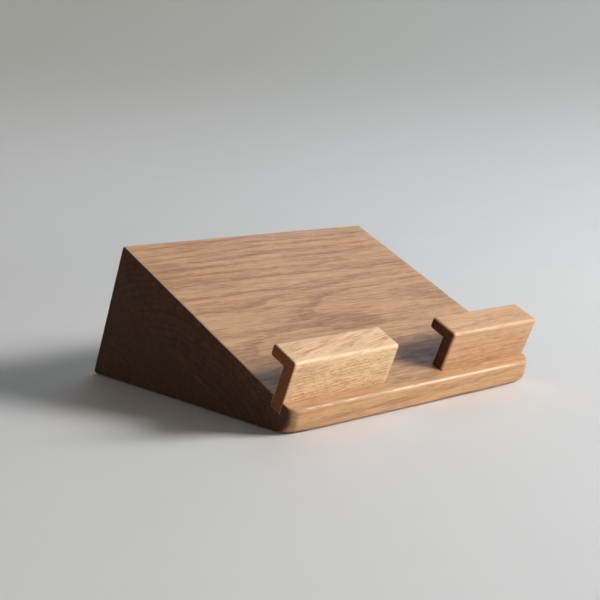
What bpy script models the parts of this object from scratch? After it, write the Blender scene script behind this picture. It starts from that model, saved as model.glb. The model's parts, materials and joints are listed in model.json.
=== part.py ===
"""Tablet stand: a solid oak wedge glued up from boards, with two hooks let into its front edge.

Metres, +Z up. X runs across the stand and -Y is its front, where the tablet's lower edge rests.
Z = 0 is the table, and the origin is on it, below the middle of the whole stand.

The wooden pieces are drawn in the bed's own frame: x across, v up the slope from the nose's top
edge, and w out of the bed, square to it.
"""

from math import cos, radians, sin, tan

import bmesh
import bpy
from mathutils import Matrix, Vector

# Wedge
SLOPE = radians(24.6)           # the bed's angle to the table
WIDTH = 0.1505                  # across the stand
BED_LENGTH = 0.134              # up the slope, from the nose's top edge to the back
NOSE_HEIGHT = 0.010             # from the underside to the nose's top edge
NOSE_LEAN = radians(12.0)       # the nose's face to the upright, its foot set back
NOSE_CORNER = 0.0055            # radius of the nose's two upright corners
EDGE_EASE = 0.001               # rounding of the wedge's outer edges
BOARDS = ("top_board", "middle_board", "bottom_board")

# Hooks
HOOK_WIDTH = 0.0580             # across, each hook
HOOK_SETBACK = 0.006            # from the nose's top edge to the hooks' front faces
LEG_THICKNESS = 0.0063          # the upright part in front of the tablet
LIP_THICKNESS = 0.0056          # the part over the tablet's edge
LIP_REACH = 0.0087              # from the leg to the lip's tip
SLOT_HEIGHT = 0.0140            # from the bed to the lip's underside
HOUSING_DEPTH = 0.005           # how far the legs are let into the bed
HOOK_EASE = 0.001               # rounding of the hooks' edges
SLOT_FILLET = 0.0006            # rounding of the corner between leg and lip

# Grip pads, one near each corner of the underside
PAD_RADIUS = 0.006
PAD_THICKNESS = 0.002
PAD_PROUD = 0.0004              # how far the pads lift the wedge off the table
PAD_EASE = 0.0003
PAD_SIDE_INSET = 0.014          # from the wedge's sides to the pads' centres
PAD_FRONT_INSET = 0.018         # from the nose's foot to the front pads' centres
PAD_BACK_INSET = 0.016          # from the back's foot to the back pads' centres

# Fits
GAP = 0.0003                    # between pieces that touch or are glued
CUTTER_OVERRUN = 0.001          # how far a cutter runs out of the face that it opens
ROUND_SEGMENTS = 32
CORNER_SEGMENTS = 6
EASE_SEGMENTS = 2
SHARP_ANGLE = radians(35.0)

# The bed's plane meets the underside's plane this far down the slope from the nose's top edge.
TIP = NOSE_HEIGHT / sin(SLOPE)
BACK_HEIGHT = (BED_LENGTH + TIP) * tan(SLOPE)
BOARD_THICKNESS = (BACK_HEIGHT - GAP * (len(BOARDS) - 1)) / len(BOARDS)
NOSE_FOOT_Y = NOSE_HEIGHT * tan(NOSE_LEAN)
BACK_FOOT_Y = (BED_LENGTH + TIP) / cos(SLOPE) - NOSE_HEIGHT / tan(SLOPE)
HOOK_HEIGHT = SLOT_HEIGHT + LIP_THICKNESS


def clear_scene():
    for old in list(bpy.data.objects):
        bpy.data.objects.remove(old, do_unlink=True)


def material(name, colour, roughness):
    finish = bpy.data.materials.new(name)
    finish.use_nodes = True
    shader = finish.node_tree.nodes["Principled BSDF"]
    shader.inputs["Base Color"].default_value = (*colour, 1.0)
    shader.inputs["Roughness"].default_value = roughness
    shader.inputs["Metallic"].default_value = 0.0
    finish.diffuse_color = (*colour, 1.0)
    return finish


def empty(name, parent=None):
    frame = bpy.data.objects.new(name, None)
    bpy.context.collection.objects.link(frame)
    frame.parent = parent
    return frame


def solid(name, shape, finish, parent):
    """A named object from a finished bmesh."""
    mesh = bpy.data.meshes.new(name)
    bmesh.ops.recalc_face_normals(shape, faces=shape.faces)
    shape.to_mesh(mesh)
    shape.free()
    mesh.materials.append(finish)
    piece = bpy.data.objects.new(name, mesh)
    bpy.context.collection.objects.link(piece)
    piece.parent = parent
    return piece


def shade(piece):
    piece.data.shade_smooth()
    piece.data.set_sharp_from_angle(angle=SHARP_ANGLE)


def prism(outline, low_x, high_x):
    """A bmesh of an outline of (v, w) points, drawn out from low_x to high_x."""
    shape = bmesh.new()
    face = shape.faces.new([shape.verts.new((low_x, v, w)) for v, w in outline])
    drawn = bmesh.ops.extrude_face_region(shape, geom=[face])
    moved = [part for part in drawn["geom"] if isinstance(part, bmesh.types.BMVert)]
    bmesh.ops.translate(shape, verts=moved, vec=(high_x - low_x, 0.0, 0.0))
    bmesh.ops.recalc_face_normals(shape, faces=shape.faces)
    return shape


def cylinder(radius, low, high):
    """A bmesh of an upright cylinder between two heights."""
    shape = bmesh.new()
    bmesh.ops.create_cone(
        shape, cap_ends=True, segments=ROUND_SEGMENTS, radius1=radius, radius2=radius,
        depth=high - low, matrix=Matrix.Translation((0.0, 0.0, (low + high) / 2)),
    )
    return shape


def round_edges(shape, edges, radius, segments):
    bmesh.ops.bevel(
        shape, geom=list(edges), offset=radius, offset_type="OFFSET", segments=segments,
        profile=0.5, affect="EDGES", clamp_overlap=True,
    )


def is_corner(edge):
    return len(edge.link_faces) == 2 and edge.calc_face_angle() > SHARP_ANGLE


def lies_on(edge, w):
    """Whether an edge lies in the plane at height w over the bed."""
    return all(abs(vert.co.z - w) < GAP / 10 for vert in edge.verts)


def cut(piece, cutter):
    opening = piece.modifiers.new(cutter.name, "BOOLEAN")
    opening.operation = "DIFFERENCE"
    opening.solver = "EXACT"
    opening.object = cutter


def hide_cutter(cutter):
    cutter.hide_render = True
    cutter.display_type = "WIRE"


def to_bed(y, z):
    """An offset from the nose's top edge, given upright, as (v, w)."""
    return y * cos(SLOPE) + z * sin(SLOPE), z * cos(SLOPE) - y * sin(SLOPE)


def base_v(w):
    """Where the underside's plane lies at height w over the bed."""
    return -w / tan(SLOPE) - TIP


def board_outline(index):
    """One board's slice of the wedge's profile."""
    top = -index * (BOARD_THICKNESS + GAP)
    bottom = top - BOARD_THICKNESS
    outline = [(BED_LENGTH, top), (BED_LENGTH, bottom)]
    if index < len(BOARDS) - 1:
        outline.append((base_v(bottom), bottom))
    if index == 0:
        outline += [to_bed(NOSE_FOOT_Y, -NOSE_HEIGHT), (0.0, 0.0)]
    else:
        outline.append((base_v(top), top))
    return outline


def is_nose_corner(edge):
    """Whether an edge is one of the two that run down the nose's ends."""
    low, high = sorted(edge.verts, key=lambda vert: vert.co.z)
    return high.co.yz.length < GAP and abs(low.co.x - high.co.x) < GAP and low.co.z < -GAP


def board(index, finish, parent):
    outline = board_outline(index)
    shape = prism(outline, -WIDTH / 2, WIDTH / 2)
    if index == 0:
        corners = [edge for edge in shape.edges if is_nose_corner(edge)]
        round_edges(shape, corners, NOSE_CORNER, CORNER_SEGMENTS)
    glued = []
    if index > 0:
        glued.append(outline[0][1])
    if index < len(BOARDS) - 1:
        glued.append(outline[1][1])
    outer = [
        edge for edge in shape.edges
        if is_corner(edge) and not any(lies_on(edge, w) for w in glued)
    ]
    round_edges(shape, outer, EDGE_EASE, EASE_SEGMENTS)
    piece = solid(BOARDS[index], shape, finish, parent)
    shade(piece)
    return piece


def hook(name, side, finish, parent):
    """An L-shaped hook, flush with the wedge's side: -1 is the left one and 1 the right one."""
    outer_x = side * WIDTH / 2
    inner_x = outer_x - side * HOOK_WIDTH
    front = HOOK_SETBACK
    leg_back = front + LEG_THICKNESS
    tip = leg_back + LIP_REACH
    foot = -HOUSING_DEPTH
    outline = [
        (front, foot), (leg_back, foot), (leg_back, SLOT_HEIGHT), (tip, SLOT_HEIGHT),
        (tip, HOOK_HEIGHT), (front, HOOK_HEIGHT),
    ]
    shape = prism(outline, min(outer_x, inner_x), max(outer_x, inner_x))
    inner = [
        edge for edge in shape.edges
        if all((vert.co.yz - Vector((leg_back, SLOT_HEIGHT))).length < GAP for vert in edge.verts)
    ]
    round_edges(shape, inner, SLOT_FILLET, EASE_SEGMENTS)
    outer = [
        edge for edge in shape.edges
        if is_corner(edge) and edge.is_convex and not lies_on(edge, foot)
    ]
    round_edges(shape, outer, HOOK_EASE, EASE_SEGMENTS)
    piece = solid(name, shape, finish, parent)
    shade(piece)
    return piece


def hook_housing(name, side, finish, parent):
    """The cutter of a hook's housing, open at the wedge's side and above the bed."""
    outer_x = side * (WIDTH / 2 + CUTTER_OVERRUN)
    inner_x = side * (WIDTH / 2 - HOOK_WIDTH - GAP)
    front, back = HOOK_SETBACK - GAP, HOOK_SETBACK + LEG_THICKNESS + GAP
    floor = -HOUSING_DEPTH - GAP
    outline = [
        (front, floor), (back, floor), (back, CUTTER_OVERRUN), (front, CUTTER_OVERRUN),
    ]
    shape = prism(outline, min(outer_x, inner_x), max(outer_x, inner_x))
    cutter = solid(name, shape, finish, parent)
    hide_cutter(cutter)
    return cutter


def housed_hook(name, side, top_board, finish, parent):
    hook(name, side, finish, parent)
    cut(top_board, hook_housing(f"{name}_housing", side, finish, parent))


def pad(name, x, y, finish, parent):
    shape = cylinder(PAD_RADIUS, 0.0, PAD_THICKNESS)
    rims = [edge for edge in shape.edges if is_corner(edge)]
    round_edges(shape, rims, PAD_EASE, EASE_SEGMENTS)
    piece = solid(name, shape, finish, parent)
    piece.location = (x, y, 0.0)
    shade(piece)
    return piece


def pad_recess(name, location, finish, parent):
    shape = cylinder(PAD_RADIUS + GAP, PAD_PROUD - CUTTER_OVERRUN, PAD_THICKNESS + GAP)
    cutter = solid(name, shape, finish, parent)
    cutter.location = location
    hide_cutter(cutter)
    return cutter


def pads(boards, finish, parent):
    rows = (
        ("front", NOSE_FOOT_Y + PAD_FRONT_INSET, boards[0]),
        ("back", BACK_FOOT_Y - PAD_BACK_INSET, boards[-1]),
    )
    for row, y, wood in rows:
        for side, x in (("left", PAD_SIDE_INSET - WIDTH / 2), ("right", WIDTH / 2 - PAD_SIDE_INSET)):
            piece = pad(f"{row}_{side}_pad", x, y, finish, parent)
            cut(wood, pad_recess(f"{piece.name}_recess", piece.location, finish, parent))


def centre_front_to_back(stand, pieces):
    """Moves the stand along Y until the origin is below its middle."""
    bpy.context.view_layer.update()
    reach = [(piece.matrix_world @ vert.co).y for piece in pieces for vert in piece.data.vertices]
    stand.location.y = -(min(reach) + max(reach)) / 2
    bpy.context.view_layer.update()


def main():
    clear_scene()
    finishes = {
        "wedge": material("wedge_oak", (0.66, 0.45, 0.27), 0.45),
        "left_hook": material("left_hook_oak", (0.76, 0.57, 0.36), 0.45),
        "right_hook": material("right_hook_oak", (0.70, 0.48, 0.30), 0.45),
        "pad": material("pad_rubber", (0.03, 0.03, 0.03), 0.8),
    }
    stand = empty("stand")
    bed = empty("bed", stand)
    bed.location = (0.0, 0.0, PAD_PROUD + NOSE_HEIGHT)
    bed.rotation_euler = (SLOPE, 0.0, 0.0)
    boards = [board(index, finishes["wedge"], bed) for index in range(len(BOARDS))]
    housed_hook("left_hook", -1, boards[0], finishes["left_hook"], bed)
    housed_hook("right_hook", 1, boards[0], finishes["right_hook"], bed)
    pads(boards, finishes["pad"], stand)
    pieces = [thing for thing in bpy.data.objects if thing.type == "MESH" and not thing.hide_render]
    centre_front_to_back(stand, pieces)


main()
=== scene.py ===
"""Oak tablet stand: a wedge glued up from three boards, with two hooks let into its front edge.

Lengths are metres and Z is up. The wooden pieces are drawn in the bed's own frame: x runs across
the stand, along the grain, y up the slope from the nose's top edge, and z out of the bed.
"""

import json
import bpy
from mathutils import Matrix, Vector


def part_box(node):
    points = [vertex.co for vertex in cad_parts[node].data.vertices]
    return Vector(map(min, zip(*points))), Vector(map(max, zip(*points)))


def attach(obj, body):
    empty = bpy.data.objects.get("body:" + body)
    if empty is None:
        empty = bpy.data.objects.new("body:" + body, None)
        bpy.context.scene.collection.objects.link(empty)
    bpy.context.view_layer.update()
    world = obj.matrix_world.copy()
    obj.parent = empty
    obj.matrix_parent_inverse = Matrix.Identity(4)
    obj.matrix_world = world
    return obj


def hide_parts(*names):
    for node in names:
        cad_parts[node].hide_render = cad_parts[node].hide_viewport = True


bl_info = {
    "name": "Oak Tablet Stand",
    "version": (1, 0, 0),
    "blender": (4, 5, 0),
    "location": "View3D > Sidebar > Tablet Stand",
    "description": "Builds an oak tablet stand, and a studio to show it in",
    "category": "Object",
}

from math import acos, atan2, ceil, cos, exp, pi, radians, sin, sqrt, tan

import bmesh
import bpy
from bpy.props import FloatProperty, FloatVectorProperty, PointerProperty
from bpy.types import Operator, Panel, PropertyGroup
from mathutils import Matrix, Vector, noise

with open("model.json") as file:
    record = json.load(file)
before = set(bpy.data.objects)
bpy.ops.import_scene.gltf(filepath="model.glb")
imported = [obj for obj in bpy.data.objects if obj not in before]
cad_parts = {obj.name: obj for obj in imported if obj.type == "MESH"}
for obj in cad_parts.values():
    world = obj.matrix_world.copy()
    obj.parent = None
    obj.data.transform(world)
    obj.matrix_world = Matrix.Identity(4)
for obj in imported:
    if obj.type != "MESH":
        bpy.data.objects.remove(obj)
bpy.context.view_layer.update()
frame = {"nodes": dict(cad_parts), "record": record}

BODY = "root"
MM = 0.001
ARC_STEPS = 7               # points on each rounded corner of an outline
END_STEPS = 14              # sections over a rounded end
HOUSING_OVERRUN = 0.002     # how far a housing's cutter runs out of the wood
GRID = 0.0028               # spacing of the points on flat stretches
BESIDE_ARC = 0.0004         # how near a flat stretch's first point lies to the rounded corner
BESIDE_SHARE = 0.3          # the same as a share of the spacing, where the stretch is short
LEAST_RADIUS = 0.00008      # what is left of a corner's radius where the end has drawn in
WEAR_AND_HIGHLIGHT_REACH = 0.003          # how far from an edge the wood is burnished and lightened by a painted highlight
SLOW_WAVE = (0.021, 0.009, 0.009)       # size of the hollows that hand sanding leaves
QUICK_WAVE = (0.006, 0.003, 0.003)      # size of its ripples
QUICK_SHARE = 0.4                       # the ripples' depth, as a share of the hollows'
ROUND_SEGMENTS = 96         # sides of the pads' recesses and of the studio's floor
PAD_SEGMENTS = 72           # sides of a pad
RING_STEPS = 8              # points on each moulded ring of a pad
RIM_STEPS = 6               # steps round a pad's rim
MERGE_REACH = 1e-6          # points as near to each other as this are one
SHARP_ANGLE = radians(32.0)


# ---------------------------------------------------------------- sizes and colours


def length(name, description, default):
    return FloatProperty(
        name=name, description=description, default=default, unit="LENGTH", subtype="DISTANCE",
        precision=5, min=0.0,
    )


def colour(name, description, default):
    return FloatVectorProperty(
        name=name, description=description, default=default, subtype="COLOR", size=3,
        min=0.0, max=1.0,
    )


class StandShape(PropertyGroup):
    """Sizes of the woodwork that the frame doesn't state."""

    bed_length: length("Bed length", "Up the slope, from the nose's top edge to the back", 0.134)
    nose_lean: FloatProperty(
        name="Nose lean", description="The nose's face to the upright, its foot set back",
        default=radians(12.0), subtype="ANGLE",
    )
    nose_corner: length("Nose corner", "Radius of the nose's two upright corners", 0.0055)
    nose_foot: length("Nose foot", "Rounding along the foot of the nose", 0.0021)
    foot_growth: length("Foot growth", "How much rounder the foot gets at the corners", 0.0042)
    foot_blend: length("Foot blend", "How far from a corner that blends out", 0.008)
    nose_ease: length("Nose ease", "Rounding of the nose's top edge", 0.0019)
    edge_ease: length("Edge ease", "Rounding of the back's top edge and of its foot", 0.0012)
    end_ease: length("End ease", "Rounding of the edges round the wedge's two sides", 0.0006)
    glue_line: length("Glue line", "Width of the dark line between glued pieces", 0.00007)
    housing_floor: length("Housing floor", "How far a leg is pushed home in its housing", 0.0002)
    leg: length("Leg", "Thickness of a hook's upright part", 0.0063)
    lip: length("Lip", "Thickness of a hook's part over the tablet", 0.0056)
    hook_ease: length("Hook ease", "Rounding of the hooks' edges that run across the stand", 0.0014)
    left_end: length("Left hook's ends", "Rounding round the left hook's ends", 0.0009)
    right_end: length("Right hook's ends", "Rounding round the right hook's ends", 0.0017)
    slot_fillet: length("Slot fillet", "Rounding of the corner between leg and lip", 0.0006)
    hand: length("Hand", "How far hand sanding strays on an edge", 0.00013)
    flat: length("Flat", "How far hand sanding strays on a flat face", 0.00003)


class StandOak(PropertyGroup):
    """Colours of the oiled oak, one pair for each tree that the pieces came from."""

    wedge_pale: colour("Wedge, pale", "Latewood of the wedge", (0.51, 0.298, 0.146))
    wedge_dark: colour("Wedge, dark", "Earlywood of the wedge", (0.295, 0.142, 0.056))
    left_pale: colour("Left hook, pale", "Latewood of the left hook", (0.78, 0.545, 0.325))
    left_dark: colour("Left hook, dark", "Earlywood of the left hook", (0.47, 0.265, 0.125))
    right_pale: colour("Right hook, pale", "Latewood of the right hook", (0.605, 0.370, 0.204))
    right_dark: colour("Right hook, dark", "Earlywood of the right hook", (0.39, 0.200, 0.090))
    pore: colour("Pores", "Open pores filled with oil", (0.20, 0.092, 0.036))
    ray: colour("Rays", "Ray fleck", (0.72, 0.50, 0.31))


class StandPads(PropertyGroup):
    """Sizes and colours of the pads."""

    fit: length("Fit", "Room round a pad in its recess", 0.00012)
    ring: length("Ring", "Distance from one moulded ring of a pad to the next", 0.0011)
    ring_depth: length("Ring depth", "Depth of the moulded rings", 0.00014)
    edge: length("Edge", "Rounding of a pad's rim", 0.0003)
    rubber: colour("Rubber", "Moulded rubber of the pads", (0.022, 0.022, 0.023))
    dust: colour("Dust", "Dust on the rubber", (0.075, 0.073, 0.070))


class StandStudio(PropertyGroup):
    """The plain studio round the stand."""

    floor_radius: length("Floor radius", "Radius of the flat floor", 0.40)
    wall_bend: length("Wall bend", "Radius of the bend from floor to wall", 1.7)
    # The wall's colour and the height where it is reached paint shade on the wall: darker upwards,
    # standing in for the light falling off there
    wall_height: length("Wall height", "Height at which the wall is darkest", 0.21)
    floor_pale: colour("Floor", "Colour of the floor", (0.725, 0.722, 0.72))
    wall_painted_shade: colour("Wall", "Colour of the wall's upper part", (0.53, 0.518, 0.487))


# ---------------------------------------------------------------- the bed's frame


def mount(name):
    return next(place for place in frame["record"]["mounts"] if place["name"] == name)


def slope_of_bed():
    """The back is square to the bed, so its outward normal points up the slope."""
    up_slope = Vector(mount("back_face")["axis"])
    return atan2(up_slope.z, up_slope.y)


def box_in(node, to_frame):
    """Lowest and highest corners of a CAD node, measured in another frame."""
    points = [to_frame @ vert.co for vert in frame["nodes"][node].data.vertices]
    return Vector(map(min, zip(*points))), Vector(map(max, zip(*points)))


def bed_frame(bed_length):
    """The matrix from the bed's frame to the world's."""
    turn = Matrix.Rotation(slope_of_bed(), 4, "X")
    high = box_in("top_board", turn.inverted())[1]
    return turn @ Matrix.Translation((0.0, high.y - bed_length, high.z))


# ---------------------------------------------------------------- outlines and solids


def crossing(line_a, line_b):
    """Where two lines cross, each a normal and its distance from the origin."""
    (a, reach_a), (b, reach_b) = line_a, line_b
    turn = a.x * b.y - a.y * b.x
    return Vector(((reach_a * b.y - reach_b * a.y) / turn, (a.x * reach_b - b.x * reach_a) / turn))


class Outline:
    """A profile in the (y, z) plane, drawn with its inside on the left of each edge.

    Each corner is (y, z, radius), and each edge runs from its corner to the next. ends gives, for
    each edge, the radius that rounds its face off at the two ends of the piece, or 0 where the
    face is glued and runs straight through. growth names a corner that gets rounder towards the
    ends: its index, the added radius and the distance in which that fades.
    """

    def __init__(self, corners, ends, growth=(0, 0.0, 1.0)):
        self.corners = [Vector(corner[:2]) for corner in corners]
        self.radii = [corner[2] for corner in corners]
        self.ends = ends
        self.growth = growth
        sides = zip(self.corners, self.corners[1:] + self.corners[:1])
        self.counts = [max(2, ceil((b - a).length / GRID)) for a, b in sides]

    def drawn_in(self, from_end):
        """The corners at a section this far from an end, with their radii there."""
        lines = []
        for index, radius in enumerate(self.ends):
            start, end = self.corners[index], self.corners[(index + 1) % len(self.corners)]
            along = (end - start).normalized()
            inward = Vector((-along.y, along.x))
            lines.append((inward, inward.dot(start) + shrink(radius, from_end)))
        corners = [crossing(lines[index - 1], lines[index]) for index in range(len(lines))]
        least_end = min(radius for radius in self.ends if radius > 0.0)
        drawn = shrink(least_end, from_end)
        radii = [radius and max(radius - drawn, LEAST_RADIUS) for radius in self.radii]
        index, added, fade = self.growth
        radii[index] += added * exp(-from_end / fade)
        return corners, radii

    def section(self, from_end):
        """Points of the section, each with how far along the outline it is from a rounded edge."""
        corners, radii = self.drawn_in(from_end)
        arcs = [
            arc(corners[index - 1], corner, corners[(index + 1) % len(corners)], radii[index])
            for index, corner in enumerate(corners)
        ]
        points = []
        for index, bend in enumerate(arcs):
            points += [(point, 0.0 if radii[index] else WEAR_AND_HIGHLIGHT_REACH) for point in bend]
            start, end = bend[-1], arcs[(index + 1) % len(arcs)][0]
            eased = radii[index] > 0.0, radii[(index + 1) % len(arcs)] > 0.0
            points += straight(start, end, self.counts[index], eased)
        return points


def shrink(radius, from_end):
    """How far a face rounded off by radius at its end has drawn in, this far from the end."""
    if from_end >= radius:
        return 0.0
    return radius - sqrt(radius ** 2 - (radius - from_end) ** 2)


def arc(before, corner, after, radius):
    """The points that round a corner, or the corner alone where it stays sharp."""
    if not radius:
        return [corner]
    back, on = (before - corner).normalized(), (after - corner).normalized()
    half = acos(max(-1.0, min(1.0, back.dot(on)))) / 2
    centre = corner + (back + on).normalized() * radius / sin(half)
    first = corner + back * radius / tan(half) - centre
    last = corner + on * radius / tan(half) - centre
    sweep = atan2(first.x * last.y - first.y * last.x, first.dot(last))
    return [
        centre + Matrix.Rotation(sweep * step / (ARC_STEPS - 1), 2) @ first
        for step in range(ARC_STEPS)
    ]


def straight(start, end, count, eased):
    """Points between two corners, with one close beside each corner that is rounded."""
    run = (end - start).length
    near = min(BESIDE_ARC / run, BESIDE_SHARE / count)
    shares = [near, *(step / count for step in range(1, count)), 1.0 - near]
    points = []
    for share in shares:
        from_start = run * share if eased[0] else WEAR_AND_HIGHLIGHT_REACH
        from_last = run * (1 - share) if eased[1] else WEAR_AND_HIGHLIGHT_REACH
        points.append((start.lerp(end, share), min(from_start, from_last)))
    return points


def stations(low, high, widest):
    """Where the sections of a piece lie, close together over its rounded ends."""
    over_end = [widest * (1 - cos(pi / 2 * step / END_STEPS)) for step in range(END_STEPS + 1)]
    middle = high - low - 2 * widest
    count = ceil(middle / GRID)
    inner = [widest + middle * step / count for step in range(1, count)]
    along = over_end + inner + [high - low - reach for reach in reversed(over_end)]
    return [(low + reach, min(reach, high - low - reach)) for reach in along]


def eased_prism(name, outline, low, high, bed):
    """A mesh of the outline drawn out from low to high along x, with its ends rounded off."""
    verts, wear_and_highlight, faces = [], [], []
    places = stations(low, high, max(outline.ends))
    for x, from_end in places:
        for point, reach in outline.section(from_end):
            verts.append(bed @ Vector((x, point.x, point.y)))
            wear_and_highlight.append(max(0.0, 1.0 - min(reach, from_end) / WEAR_AND_HIGHLIGHT_REACH))
    ring = len(verts) // len(places)
    for step in range(len(places) - 1):
        for index in range(ring):
            a, b = step * ring + index, step * ring + (index + 1) % ring
            faces.append((a, b, b + ring, a + ring))
    faces.append(tuple(reversed(range(ring))))
    faces.append(tuple(range(len(verts) - ring, len(verts))))
    mesh = bpy.data.meshes.new(name)
    mesh.from_pydata(verts, [], faces)
    wear_and_highlight_edge = mesh.attributes.new("wear_and_highlight", "FLOAT", "POINT")
    wear_and_highlight_edge.data.foreach_set("value", wear_and_highlight)
    mesh.validate()
    turn_outward(mesh)
    return mesh


def turn_outward(mesh):
    shape = bmesh.new()
    shape.from_mesh(mesh)
    bmesh.ops.recalc_face_normals(shape, faces=shape.faces)
    shape.to_mesh(mesh)
    shape.free()


def in_waves(place, wave):
    """A place counted in waves along each axis."""
    return Vector([reach / size for reach, size in zip(place, wave)])


def sand(mesh, to_bed, seed, at_edge, on_flat):
    """Lets each face stray a little, and each edge a little more, as sanding by hand does."""
    mesh.update()
    wear_and_highlight_edge = mesh.attributes["wear_and_highlight"].data
    moves = []
    for vert in mesh.vertices:
        place = to_bed @ vert.co
        slow = noise.noise(in_waves(place, SLOW_WAVE) + seed)
        quick = noise.noise(in_waves(place, QUICK_WAVE) - seed)
        share = on_flat + (at_edge - on_flat) * wear_and_highlight_edge[vert.index].value
        moves.append(vert.normal * (slow + QUICK_SHARE * quick) * share)
    for vert, move in zip(mesh.vertices, moves):
        vert.co += move


def piece_of(name, mesh, finish, slot, *nodes):
    """A finished piece that stands for CAD nodes and rides on the stand's one body."""
    piece = bpy.data.objects.new(name, mesh)
    bpy.context.scene.collection.objects.link(piece)
    mesh.materials.clear()
    mesh.materials.append(finish)
    mesh.shade_smooth()
    mesh.set_sharp_from_angle(angle=SHARP_ANGLE)
    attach(piece, BODY)
    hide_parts(*nodes)
    return piece


def cylinder_mesh(name, radius, low, high, place):
    """A plain cylinder along its own z, from low to high, set in place by a matrix."""
    shape = bmesh.new()
    middle = place @ Matrix.Translation((0.0, 0.0, (low + high) / 2))
    bmesh.ops.create_cone(
        shape, cap_ends=True, segments=ROUND_SEGMENTS, radius1=radius, radius2=radius,
        depth=high - low, matrix=middle,
    )
    mesh = bpy.data.meshes.new(name)
    shape.to_mesh(mesh)
    shape.free()
    return mesh


def bored(mesh, cutters):
    """The mesh with the cutters taken out of it."""
    piece = bpy.data.objects.new("blank", mesh)
    bpy.context.scene.collection.objects.link(piece)
    tools = []
    for cutter in cutters:
        tool = bpy.data.objects.new("cutter", cutter)
        bpy.context.scene.collection.objects.link(tool)
        cut = piece.modifiers.new("cut", "BOOLEAN")
        cut.operation, cut.solver, cut.object = "DIFFERENCE", "EXACT", tool
        tools.append(tool)
    graph = bpy.context.evaluated_depsgraph_get()
    result = bpy.data.meshes.new_from_object(piece.evaluated_get(graph), depsgraph=graph)
    result.name = mesh.name
    for thing in (piece, *tools):
        bpy.data.objects.remove(thing)
    return result


# ---------------------------------------------------------------- finishes


MIX_INPUTS = (0, 6, 7)      # a Mix node's factor and its two colours
MIX_OUTPUT = 2              # its mixed colour


class Finish:
    """A material under construction, with short names for the nodes that it needs."""

    def __init__(self, name):
        self.material = bpy.data.materials.new(name)
        self.material.use_nodes = True
        self.tree = self.material.node_tree
        self.shader = self.tree.nodes["Principled BSDF"]

    def add(self, kind, inputs=(), **settings):
        node = self.tree.nodes.new("ShaderNode" + kind)
        for key, value in settings.items():
            setattr(node, key, value)
        for key, value in dict(inputs).items():
            self.feed(node.inputs[key], value)
        return node

    def feed(self, socket, value):
        if isinstance(value, bpy.types.NodeSocket):
            self.tree.links.new(value, socket)
        else:
            socket.default_value = value

    def maths(self, operation, *values):
        return self.add("Math", dict(enumerate(values)), operation=operation).outputs[0]

    def swayed(self, base, value, weight):
        """The base, moved by how far a noise lies from its middle."""
        return self.maths("MULTIPLY_ADD", self.maths("SUBTRACT", value, 0.5), weight, base)

    def vector(self, operation, *values):
        node = self.add("VectorMath", dict(enumerate(values)), operation=operation)
        return node.outputs["Value" if operation in ("LENGTH", "DOT_PRODUCT") else "Vector"]

    def noise(self, place, size, detail=1.0, roughness=0.5, output="Fac"):
        """Noise whose features are about size, a vector of lengths along each axis."""
        scaled = self.vector("DIVIDE", place, size)
        inputs = {"Vector": scaled, "Scale": 1.0, "Detail": detail, "Roughness": roughness}
        return self.add("TexNoise", inputs).outputs[output]

    def span(self, value, low, high, to_low=0.0, to_high=1.0):
        """The value's share of the way from low to high, eased at both ends."""
        inputs = {"Value": value, "From Min": low, "From Max": high}
        inputs.update({"To Min": to_low, "To Max": to_high})
        return self.add("MapRange", inputs, interpolation_type="SMOOTHSTEP").outputs[0]

    def curve(self, value, stops):
        """The value read off a curve through stops of (position, height)."""
        node = self.add("ValToRGB", {"Fac": value})
        while len(node.color_ramp.elements) < len(stops):
            node.color_ramp.elements.new(1.0)
        for element, (position, height) in zip(node.color_ramp.elements, stops):
            element.position = position
            element.color = (height, height, height, 1.0)
        return node.outputs["Color"]

    def mix(self, share, first, second, mode="MIX"):
        node = self.add("Mix", data_type="RGBA", blend_type=mode)
        sockets = [node.inputs[index] for index in MIX_INPUTS]
        for socket, value in zip(sockets, (share, first, second)):
            if not isinstance(value, bpy.types.NodeSocket) and socket.type == "RGBA":
                value = (*value, 1.0)
            self.feed(socket, value)
        return node.outputs[MIX_OUTPUT]

    def attribute(self, name):
        return self.add("Attribute", attribute_name=name).outputs["Fac"]

    def bump(self, height, depth):
        inputs = {"Strength": 1.0, "Distance": depth, "Height": height}
        return self.add("Bump", inputs).outputs["Normal"]

    def done(self, colour, roughness, height, depth):
        self.feed(self.shader.inputs["Base Color"], colour)
        self.feed(self.shader.inputs["Roughness"], roughness)
        self.feed(self.shader.inputs["Normal"], self.bump(height, depth))
        return self.material

    def place_in(self, origin, slope):
        """Where a point lies in a sloping frame, in millimetres."""
        own = self.add("TexCoord").outputs["Object"]
        inputs = {"Vector": own, "Location": origin, "Rotation": (slope, 0.0, 0.0)}
        inputs["Scale"] = (MM, MM, MM)
        return self.add("Mapping", inputs, vector_type="TEXTURE").outputs[0]

    def shares(self, value):
        return self.add("SeparateXYZ", {0: value}).outputs


# Sizes of the oak's figure in millimetres: along the fibres, then across them
WANDER = (150.0, 38.0, 38.0)        # from one bend of the tree to the next
WANDER_REACH = (0.0, 11.0, 11.0)
RIPPLE = (34.0, 7.0, 7.0)           # from one small wave of the grain to the next
RIPPLE_REACH = (0.0, 1.7, 1.7)
RUN_OF_YEARS = (9.0, 1.0, 1.0)      # how long wet or dry years last
YEARS_GAINED = 2.6                  # how many rings they crowd together or spread apart
EARLYWOOD = ((0.0, 0.15), (0.06, 1.0), (0.24, 0.75), (0.5, 0.2), (1.0, 0.05))
BANDS = (85.0, 3.4, 3.4)
FIBRES = (13.0, 0.8, 0.8)
HAIRS = (5.0, 0.3, 0.3)
PORES = (6.5, 0.42, 0.42)
RAYS = (3.2, 0.33, 7.5)             # along the fibres, round the tree, out from the pith
STAINS = (130.0, 21.0, 21.0)
WOVEN = (0.0, 0.6, 0.6)             # how much of the ripple the fibres follow
MIDDLE = (0.5, 0.5, 0.5)
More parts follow.
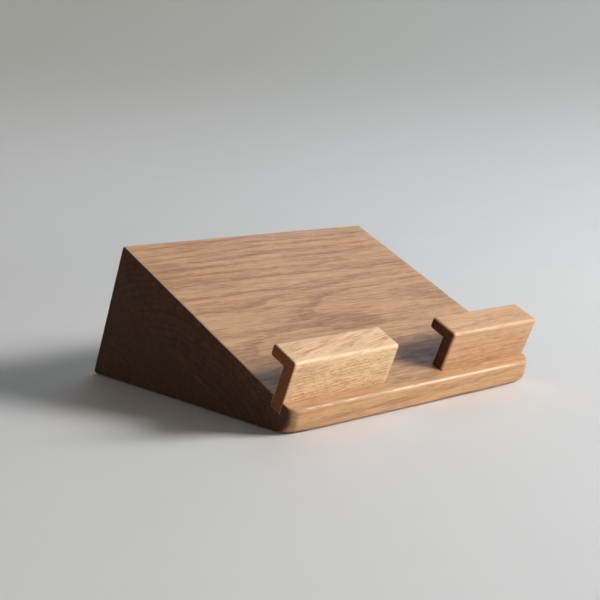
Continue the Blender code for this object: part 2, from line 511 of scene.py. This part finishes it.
ACROSS = (0.0, 1.0, 1.0)
PORE_EDGE = (0.70, 0.80)            # the noise from wood to open pore
RAY_EDGE = (0.66, 0.74)             # the noise from wood to ray
END_GRAIN = (0.55, 0.92)            # how squarely the fibres are cut, from long grain to end grain

# How strongly each part of the figure shows
EARLY_TONE, BAND_TONE, FIBRE_TONE, HAIR_TONE, END_TONE = 0.42, 1.5, 1.9, 0.9, 0.25
TONE_PALEST, TONE_BASE, TONE_DARKEST = -0.45, 0.08, 1.15
EARLY_PORES = 0.13                  # earlywood has more pores
# The third share lightens the edges: partly burnish, partly a painted highlight
PORE_SHOWS, RAY_SHOWS, WEAR_AND_HIGHLIGHT_SHOWS = 0.42, 0.14, 0.4
MIDDLE_OF_NOISE = (0.3, 0.7)        # the part of a noise that a soft patch runs through
STAIN_SHOWS = 0.5
STAIN = (1.0, 0.86, 0.80)           # how much of each colour a stain keeps
BOARD_END_AND_SHADE = (0.20, 0.145, 0.11)     # how much of each colour the boards' end grain keeps: partly its own darkness, partly painted shade
PORE_ROUGH, FIBRE_ROUGH, END_ROUGH = 0.22, 0.22, 0.45
PORE_RELIEF, HAIR_RELIEF, EARLY_RELIEF = -1.0, 0.5, -0.35
SPECULAR = 0.48
RELIEF = 0.07 * MM


class Timber:
    """Where in its tree a piece of wood was cut. Lengths are in millimetres."""

    def __init__(self, shift, turn, pith, ring, figure=1.0, sheen=0.44, end=BOARD_END_AND_SHADE):
        self.shift = shift          # moves the piece to its own stretch of the tree
        self.turn = turn            # how far the grain runs off the piece's length
        self.pith = pith            # the tree's centre, in the piece's (y, z)
        self.ring = ring            # width of a year's ring
        self.figure = figure        # strength of the streaks
        self.sheen = sheen          # roughness of the latewood
        self.end = end              # how much of each colour the end grain keeps: partly its own darkness, partly painted shade


def drift(wood, place, size, reach, roughness):
    """How far the grain strays from straight, up to half of reach to either side."""
    stray = wood.vector("SUBTRACT", wood.noise(place, size, 1.0, roughness, "Color"), MIDDLE)
    return wood.vector("MULTIPLY", stray, reach)


def year_rings(wood, place, ripple, timber):
    """The spoke from the pith to the place, its length, and how far the wood is earlywood."""
    wander = drift(wood, place, WANDER, WANDER_REACH, 0.4)
    centre = (0.0, timber.pith[0] + timber.shift[1], timber.pith[1] + timber.shift[2])
    drifted = wood.vector("ADD", wood.vector("ADD", place, wander), ripple)
    spoke = wood.vector("MULTIPLY", wood.vector("SUBTRACT", drifted, centre), ACROSS)
    reach = wood.vector("LENGTH", spoke)
    years = wood.noise(wood.add("CombineXYZ", {0: reach}).outputs[0], RUN_OF_YEARS)
    years = wood.maths("MULTIPLY", years, YEARS_GAINED)
    years = wood.maths("ADD", wood.maths("DIVIDE", reach, timber.ring), years)
    return spoke, reach, wood.curve(wood.maths("FRACT", years), EARLYWOOD)


def open_pores(wood, place, early):
    pores = wood.maths("MULTIPLY_ADD", early, EARLY_PORES, wood.noise(place, PORES, 0.0))
    return wood.span(pores, *PORE_EDGE)


def ray_fleck(wood, place, spoke, reach, timber):
    """Rays stand on edge along the fibres and run out from the pith."""
    spread = wood.shares(spoke)
    bearing = wood.maths("ARCTAN2", spread[1], spread[2])
    round_tree = wood.maths("MULTIPLY", bearing, abs(timber.pith[1]))
    sheet = wood.add("CombineXYZ", {0: wood.shares(place)[0], 1: round_tree, 2: reach}).outputs[0]
    return wood.span(wood.noise(sheet, RAYS, 0.0), *RAY_EDGE)


def oak(name, pale, dark, colours, timber, bed):
    """Oiled oak, with long grain on its faces and end grain where the fibres are cut across."""
    wood = Finish(name)
    place = wood.place_in(bed.translation, slope_of_bed())
    inputs = {"Vector": place, "Location": timber.shift, "Rotation": timber.turn}
    place = wood.add("Mapping", inputs, vector_type="POINT").outputs[0]
    ripple = drift(wood, place, RIPPLE, RIPPLE_REACH, 0.5)
    spoke, reach, early = year_rings(wood, place, ripple, timber)
    woven = wood.vector("ADD", place, wood.vector("MULTIPLY", ripple, WOVEN))
    bands = wood.noise(woven, BANDS, 2.0, 0.55)
    fibres = wood.noise(woven, FIBRES, 2.0, 0.6)
    hairs = wood.noise(woven, HAIRS)
    pores = open_pores(wood, place, early)
    rays = ray_fleck(wood, place, spoke, reach, timber)
    across = wood.maths("ABSOLUTE", wood.shares(wood.add("NewGeometry").outputs["Normal"])[0])
    cut = wood.span(across, *END_GRAIN)
    # Mask of the edges on long grain, for burnish and a painted highlight
    wear_and_highlight_edge = wood.maths("MULTIPLY", wood.attribute("wear_and_highlight"), wood.maths("SUBTRACT", 1.0, cut))

    # Colour
    tone = wood.maths("MULTIPLY_ADD", early, EARLY_TONE * timber.figure, TONE_BASE)
    tone = wood.swayed(tone, bands, BAND_TONE * timber.figure)
    tone = wood.swayed(tone, fibres, FIBRE_TONE * timber.figure)
    tone = wood.swayed(tone, hairs, HAIR_TONE)
    tone = wood.maths("MULTIPLY_ADD", cut, END_TONE, tone)
    shade = wood.mix(wood.span(tone, TONE_PALEST, TONE_DARKEST), pale, dark)
    stains = wood.span(wood.noise(place, STAINS), *MIDDLE_OF_NOISE, 0.0, STAIN_SHOWS)
    shade = wood.mix(stains, shade, STAIN, "MULTIPLY")
    shade = wood.mix(wood.maths("MULTIPLY", rays, RAY_SHOWS), shade, colours.ray)
    shade = wood.mix(wood.maths("MULTIPLY", pores, PORE_SHOWS), shade, colours.pore)
    # End grain: the colour is darkened, partly for the end grain's own darkness, partly as painted
    # shade
    shade = wood.mix(cut, shade, wood.mix(1.0, shade, timber.end, "MULTIPLY"))
    # Edges are lightened towards the pale colour: partly burnish, partly a painted highlight
    shade = wood.mix(wood.maths("MULTIPLY", wear_and_highlight_edge, WEAR_AND_HIGHLIGHT_SHOWS), shade, pale)

    # Sheen and relief
    rough = wood.maths("MULTIPLY_ADD", pores, PORE_ROUGH, timber.sheen)
    rough = wood.swayed(rough, fibres, FIBRE_ROUGH)
    rough = wood.maths("MULTIPLY_ADD", cut, END_ROUGH, rough)
    relief = wood.maths("MULTIPLY", hairs, HAIR_RELIEF)
    relief = wood.maths("MULTIPLY_ADD", pores, PORE_RELIEF, relief)
    relief = wood.maths("MULTIPLY_ADD", early, EARLY_RELIEF, relief)
    wood.feed(wood.shader.inputs["Specular IOR Level"], SPECULAR)
    return wood.done(shade, rough, relief, RELIEF)


# The rubber. Its patches and grit are in millimetres
DUST_PATCH = (2.4, 2.4, 2.4)
DUST_EDGE = (0.55, 0.95)            # the noise from bare rubber to dust
DUST_SHOWS = 0.7
GRIT = (0.16, 0.16, 0.16)
GRIT_IN_DUST = 0.35                 # how far the grit breaks the dust up
RUBBER_ROUGH, DUST_ROUGH = 0.68, 0.2
GRIT_RELIEF = 0.04 * MM

# The laminate of the studio. Its mottle is in metres
MOTTLE = (0.05, 0.05, 0.05)
MOTTLE_SHOWS = 0.03
LAMINATE_ROUGH, MOTTLE_ROUGH = 0.5, 0.1
MOTTLE_RELIEF = 0.01 * MM


def rubber(name, fresh, dusty):
    """Moulded black rubber, matt and a little dusty."""
    skin = Finish(name)
    own = skin.vector("DIVIDE", skin.add("TexCoord").outputs["Object"], (MM, MM, MM))
    dust = skin.noise(own, DUST_PATCH, 4.0, 0.6)
    grit = skin.noise(own, GRIT)
    dust = skin.maths("MULTIPLY_ADD", grit, GRIT_IN_DUST, dust)
    share = skin.span(dust, *DUST_EDGE, 0.0, DUST_SHOWS)
    shade = skin.mix(share, fresh, dusty)
    rough = skin.maths("MULTIPLY_ADD", share, DUST_ROUGH, RUBBER_ROUGH)
    return skin.done(shade, rough, grit, GRIT_RELIEF)


def sweep_finish(name, floor_colour, painted_shade_colour, wall_height):
    """Smooth matt laminate, with painted shade that darkens it towards the top of the wall."""
    paint = Finish(name)
    own = paint.add("TexCoord").outputs["Object"]
    height = paint.span(paint.shares(own)[2], 0.0, wall_height)
    mottle = paint.noise(own, MOTTLE, 3.0, 0.5)
    # Painted shade: from the floor's colour at the floor to the darker wall colour higher up
    shade = paint.mix(height, floor_colour, painted_shade_colour)
    share = paint.span(mottle, *MIDDLE_OF_NOISE, 0.0, MOTTLE_SHOWS)
    shade = paint.mix(share, shade, painted_shade_colour)
    rough = paint.maths("MULTIPLY_ADD", mottle, MOTTLE_ROUGH, LAMINATE_ROUGH)
    return paint.done(shade, rough, mottle, MOTTLE_RELIEF)


# ---------------------------------------------------------------- the pieces


TIMBERS = {
    "top_board": Timber(
        shift=(40.0, 0.0, 0.0), turn=(0.0, radians(1.0), radians(1.2)), pith=(52.0, -95.0),
        ring=3.1, figure=1.4,
    ),
    "middle_board": Timber(
        shift=(310.0, 25.0, 0.0), turn=(0.0, radians(-1.0), radians(0.6)), pith=(70.0, 38.0),
        ring=2.7,
    ),
    "bottom_board": Timber(
        shift=(620.0, 80.0, 0.0), turn=(0.0, radians(0.6), radians(-0.8)), pith=(92.0, -150.0),
        ring=2.9,
    ),
    # The hooks' end colours darken their ends, partly for the end grain's own colour, partly as
    # painted shade
    "left_hook": Timber(
        shift=(905.0, 11.0, 7.0), turn=(0.0, radians(1.5), radians(-11.0)), pith=(-14.0, -120.0),
        ring=1.7, figure=1.05, sheen=0.52, end=(0.34, 0.18, 0.10),
    ),
    "right_hook": Timber(
        shift=(1210.0, 30.0, 0.0), turn=(0.0, radians(-0.6), radians(1.2)), pith=(34.0, -48.0),
        ring=2.8, figure=0.85, sheen=0.56, end=(0.20, 0.12, 0.09),
    ),
}
BOARD_SEED = Vector((3.1, 7.7, 1.9))    # moves the sanding noise on, from one board to the next
HOOK_SEED = Vector((5.3, 2.9, 8.1))
HOOKS = ("left_hook", "right_hook")
PADS = ("front_left", "front_right", "back_left", "back_right")


def board_outlines(shape, bed):
    """The three boards' slices of the wedge's profile, in the bed's frame."""
    to_bed = bed.inverted()
    under = mount("underside")["pos_m"][2]
    height = bed.translation.z - under
    slope = slope_of_bed()
    tip = height / sin(slope)
    boxes = [box_in(name, to_bed) for name in ("top_board", "middle_board", "bottom_board")]
    glued = [(boxes[0][0].z + boxes[1][1].z) / 2, (boxes[1][0].z + boxes[2][1].z) / 2]
    half = shape.glue_line / 2
    back, ease, end = shape.bed_length, shape.edge_ease, shape.end_ease
    foot = to_bed @ Vector((0.0, bed.translation.y + height * tan(shape.nose_lean), under))

    def base(z):
        """Where the underside lies at this height over the bed."""
        return -z / tan(slope) - tip, z

    top = Outline(
        [(0.0, 0.0, shape.nose_ease), (foot.y, foot.z, shape.nose_foot),
         (*base(glued[0] + half), 0.0), (back, glued[0] + half, 0.0), (back, 0.0, ease)],
        [shape.nose_corner, end, 0.0, end, end],
        (1, shape.foot_growth, shape.foot_blend),
    )
    middle = Outline(
        [(*base(glued[0] - half), 0.0), (*base(glued[1] + half), 0.0),
         (back, glued[1] + half, 0.0), (back, glued[0] - half, 0.0)],
        [end, 0.0, end, 0.0],
    )
    bottom = Outline(
        [(*base(glued[1] - half), 0.0), (back, -(back + tip) * tan(slope), ease),
         (back, glued[1] - half, 0.0)],
        [end, end, 0.0],
    )
    return {"top_board": top, "middle_board": middle, "bottom_board": bottom}


def hook_box(name, shape, bed):
    """A hook's lowest and highest corners in the bed's frame, as it stands in its housing."""
    low, high = box_in(name, bed.inverted())
    return low - Vector((0.0, 0.0, shape.housing_floor)), high


def housing_cutter(name, shape, bed):
    """The housing of a hook's leg, open above the bed and at the wedge's side."""
    low, high = hook_box(name, shape, bed)
    play = shape.glue_line
    out = HOUSING_OVERRUN
    wide = (low.x - out, high.x + play) if low.x < -high.x else (low.x - play, high.x + out)
    cutter = bmesh.new()
    bmesh.ops.create_cube(cutter, size=1.0)
    corners = (wide[0], low.y - play, low.z - play), (wide[1], low.y + shape.leg + play, out)
    middle = (Vector(corners[0]) + Vector(corners[1])) / 2
    size = Vector(corners[1]) - Vector(corners[0])
    place = bed @ Matrix.Translation(middle) @ Matrix.Diagonal((*size, 1.0))
    bmesh.ops.transform(cutter, matrix=place, verts=cutter.verts)
    mesh = bpy.data.meshes.new("housing")
    cutter.to_mesh(mesh)
    cutter.free()
    return mesh


def pad_cutters(pads, row):
    """The recesses of one row of pads, open below the wedge's underside."""
    cutters = []
    for name in PADS:
        if name.startswith(row):
            low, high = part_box(f"{name}_pad")
            place = Matrix.Translation(((low.x + high.x) / 2, (low.y + high.y) / 2, 0.0))
            radius = (high.x - low.x) / 2 + pads.fit
            cutters.append(cylinder_mesh("recess", radius, -high.z, high.z + pads.fit, place))
    return cutters


class STAND_OT_boards(Operator):
    """Build the wedge's three boards"""

    bl_idname = "stand.boards"
    bl_label = "Boards"

    def execute(self, context):
        shape, oaks = context.scene.stand_shape, context.scene.stand_oak
        pads = context.scene.stand_pads
        bed = bed_frame(shape.bed_length)
        housings = [housing_cutter(name, shape, bed) for name in HOOKS]
        holes = {
            "top_board": housings + pad_cutters(pads, "front"),
            "middle_board": [],
            "bottom_board": pad_cutters(pads, "back"),
        }
        for number, (name, outline) in enumerate(board_outlines(shape, bed).items()):
            low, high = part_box(name)
            mesh = eased_prism(f"{name}_oak", outline, low.x, high.x, bed)
            seed = BOARD_SEED * (number + 1)
            sand(mesh, bed.inverted(), seed, shape.hand, shape.flat)
            if holes[name]:
                mesh = bored(mesh, holes[name])
            finish = oak(f"{name}_oak", oaks.wedge_pale, oaks.wedge_dark, oaks, TIMBERS[name], bed)
            piece_of(f"{name}_oak", mesh, finish, "wedge_oak", name)
        return {"FINISHED"}


class STAND_OT_hooks(Operator):
    """Build the two hooks along the front edge"""

    bl_idname = "stand.hooks"
    bl_label = "Hooks"

    def execute(self, context):
        shape, oaks = context.scene.stand_shape, context.scene.stand_oak
        bed = bed_frame(shape.bed_length)
        looks = {
            "left_hook": (oaks.left_pale, oaks.left_dark, shape.left_end),
            "right_hook": (oaks.right_pale, oaks.right_dark, shape.right_end),
        }
        for number, (name, (pale, dark, end)) in enumerate(looks.items()):
            low, high = hook_box(name, shape, bed)
            ease = shape.hook_ease
            leg_back, under_lip = low.y + shape.leg, high.z - shape.lip
            outline = Outline(
                [(low.y, high.z, ease), (low.y, low.z, 0.0), (leg_back, low.z, 0.0),
                 (leg_back, under_lip, shape.slot_fillet), (high.y, under_lip, ease),
                 (high.y, high.z, ease)],
                [end, 0.0, end, end, end, end],
            )
            mesh = eased_prism(f"{name}_oak", outline, low.x, high.x, bed)
            seed = HOOK_SEED * (number + 1)
            sand(mesh, bed.inverted(), seed, shape.hand, shape.flat)
            finish = oak(f"{name}_oak", pale, dark, oaks, TIMBERS[name], bed)
            piece_of(f"{name}_oak", mesh, finish, f"{name}_oak", name)
        return {"FINISHED"}


def pad_mesh(name, radius, thickness, pads, place):
    """A round pad with moulded rings on its underside, turned from its half profile."""
    rings = max(1, int((radius - pads.edge) / pads.ring) - 1)
    profile = [(0.0, 0.0)]
    for step in range(1, rings * RING_STEPS + 1):
        reach = step * pads.ring / RING_STEPS
        profile.append((reach, pads.ring_depth * (1 - cos(2 * pi * reach / pads.ring)) / 2))
    for step in range(RIM_STEPS + 1):
        turn = pi / 2 * step / RIM_STEPS
        reach = radius - pads.edge * (1 - sin(turn))
        profile.append((reach, pads.edge * (1 - cos(turn))))
    profile += [(radius, thickness - pads.edge), (radius - pads.edge, thickness), (0.0, thickness)]
    shape = bmesh.new()
    line = [shape.verts.new(place @ Vector((reach, 0.0, height))) for reach, height in profile]
    edges = [shape.edges.new(pair) for pair in zip(line, line[1:])]
    centre = place.translation
    bmesh.ops.spin(
        shape, geom=line + edges, cent=centre, axis=(0.0, 0.0, 1.0), angle=2 * pi,
        steps=PAD_SEGMENTS, use_merge=True,
    )
    bmesh.ops.remove_doubles(shape, verts=shape.verts, dist=MERGE_REACH)
    bmesh.ops.recalc_face_normals(shape, faces=shape.faces)
    mesh = bpy.data.meshes.new(name)
    shape.to_mesh(mesh)
    shape.free()
    return mesh


class STAND_OT_pads(Operator):
    """Build the rubber pads under the wedge"""

    bl_idname = "stand.pads"
    bl_label = "Pads"

    def execute(self, context):
        pads = context.scene.stand_pads
        finish = rubber("moulded_rubber", pads.rubber, pads.dust)
        for name in PADS:
            low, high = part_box(f"{name}_pad")
            place = Matrix.Translation(((low.x + high.x) / 2, (low.y + high.y) / 2, low.z))
            mesh = pad_mesh(f"{name}_grip_pad", (high.x - low.x) / 2, high.z - low.z, pads, place)
            piece_of(f"{name}_grip_pad", mesh, finish, "pad_rubber", f"{name}_pad")
        return {"FINISHED"}


# ---------------------------------------------------------------- the studio


CAMERA_FROM_NOSE = Vector((-0.37077, -0.351038, 0.12117))
CAMERA_HEADING = radians(40.52)     # from +Y towards +X
CAMERA_PITCH = radians(9.376)       # below the level
CAMERA_LENS = 71.317                # millimetres, on a 36 mm sensor
CAMERA_NEAR = 0.01
LIGHTS = (
    # name, place, size, watts, colour
    ("window", (1.24, -1.16, 0.72), 0.81, 76.5, (1.0, 0.99, 0.975)),
    ("sky_panel", (0.98, 0.52, 1.07), 0.80, 3.1, (0.50, 0.76, 1.0)),
    ("ceiling", (0.15, 0.10, 1.45), 0.90, 0.8, (1.0, 1.0, 1.0)),
)
WALL_TURN = radians(80.0)
WALL_STEPS = 40
SKY = (1.0, 0.84, 0.68)
SKY_STRENGTH = 0.075


def softbox(name, place, size, watts, tint):
    lamp = bpy.data.lights.new(name, "AREA")
    lamp.shape = "SQUARE"
    lamp.size = size
    lamp.energy = watts
    lamp.color = tint
    box = bpy.data.objects.new(name, lamp)
    bpy.context.scene.collection.objects.link(box)
    box.location = place
    box.visible_camera = False      # the other views would look straight into it
    box.rotation_euler = Vector(place).to_track_quat("Z", "Y").to_euler()
    return box


def sweep_mesh(name, studio, floor):
    """A round floor that bends up into a wall all round."""
    bend, reach = studio.wall_bend, studio.floor_radius
    profile = [(0.0, 0.0), (reach * 0.5, 0.0), (reach, 0.0)]
    for step in range(1, WALL_STEPS + 1):
        turn = WALL_TURN * step / WALL_STEPS
        profile.append((reach + bend * sin(turn), bend * (1 - cos(turn))))
    shape = bmesh.new()
    line = [shape.verts.new((out, 0.0, floor + up)) for out, up in profile]
    edges = [shape.edges.new(pair) for pair in zip(line, line[1:])]
    bmesh.ops.spin(
        shape, geom=line + edges, cent=(0.0, 0.0, 0.0), axis=(0.0, 0.0, 1.0), angle=2 * pi,
        steps=ROUND_SEGMENTS, use_merge=True,
    )
    bmesh.ops.remove_doubles(shape, verts=shape.verts, dist=MERGE_REACH)
    bmesh.ops.recalc_face_normals(shape, faces=shape.faces)
    mesh = bpy.data.meshes.new(name)
    shape.to_mesh(mesh)
    shape.free()
    mesh.shade_smooth()
    return mesh


class STAND_OT_studio(Operator):
    """Build the floor, the wall, the lights and the camera"""

    bl_idname = "stand.studio"
    bl_label = "Studio"

    def execute(self, context):
        studio = context.scene.stand_studio
        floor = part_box("front_left_pad")[0].z
        mesh = sweep_mesh("studio_sweep", studio, floor)
        mesh.materials.append(
            sweep_finish("studio_laminate", studio.floor_pale, studio.wall_painted_shade, studio.wall_height)
        )
        sweep = bpy.data.objects.new("studio_sweep", mesh)
        context.scene.collection.objects.link(sweep)
        for light in LIGHTS:
            softbox(*light)
        sky = context.scene.world or bpy.data.worlds.new("studio_sky")
        context.scene.world = sky
        sky.use_nodes = True
        glow = sky.node_tree.nodes["Background"]
        glow.inputs["Color"].default_value = (*SKY, 1.0)
        glow.inputs["Strength"].default_value = SKY_STRENGTH
        camera = bpy.data.objects.new("camera", bpy.data.cameras.new("camera"))
        context.scene.collection.objects.link(camera)
        nose = bed_frame(context.scene.stand_shape.bed_length).translation
        camera.location = nose + CAMERA_FROM_NOSE
        camera.rotation_euler = (pi / 2 - CAMERA_PITCH, 0.0, -CAMERA_HEADING)
        camera.data.lens = CAMERA_LENS
        camera.data.clip_start = CAMERA_NEAR
        context.scene.camera = camera
        context.scene.view_settings.view_transform = "Standard"
        return {"FINISHED"}


# ---------------------------------------------------------------- the add-on


class STAND_PT_sidebar(Panel):
    """The stand's builders and settings"""

    bl_label = "Tablet Stand"
    bl_idname = "STAND_PT_sidebar"
    bl_space_type = "VIEW_3D"
    bl_region_type = "UI"
    bl_category = "Tablet Stand"

    def draw(self, context):
        for operator in OPERATORS:
            self.layout.operator(operator.bl_idname)
        for name in SETTINGS:
            group = getattr(context.scene, name)
            box = self.layout.box()
            for key in group.bl_rna.properties.keys():
                if key not in ("rna_type", "name"):
                    box.prop(group, key)


OPERATORS = (STAND_OT_boards, STAND_OT_hooks, STAND_OT_pads, STAND_OT_studio)
SETTINGS = {
    "stand_shape": StandShape,
    "stand_oak": StandOak,
    "stand_pads": StandPads,
    "stand_studio": StandStudio,
}
CLASSES = (*SETTINGS.values(), *OPERATORS, STAND_PT_sidebar)


def register():
    for kind in CLASSES:
        bpy.utils.register_class(kind)
    for name, group in SETTINGS.items():
        setattr(bpy.types.Scene, name, PointerProperty(type=group))


def unregister():
    for name in SETTINGS:
        delattr(bpy.types.Scene, name)
    for kind in reversed(CLASSES):
        bpy.utils.unregister_class(kind)


def main():
    register()
    bpy.ops.stand.boards()
    bpy.ops.stand.hooks()
    bpy.ops.stand.pads()
    bpy.ops.stand.studio()


if __name__ == "__main__":
    main()
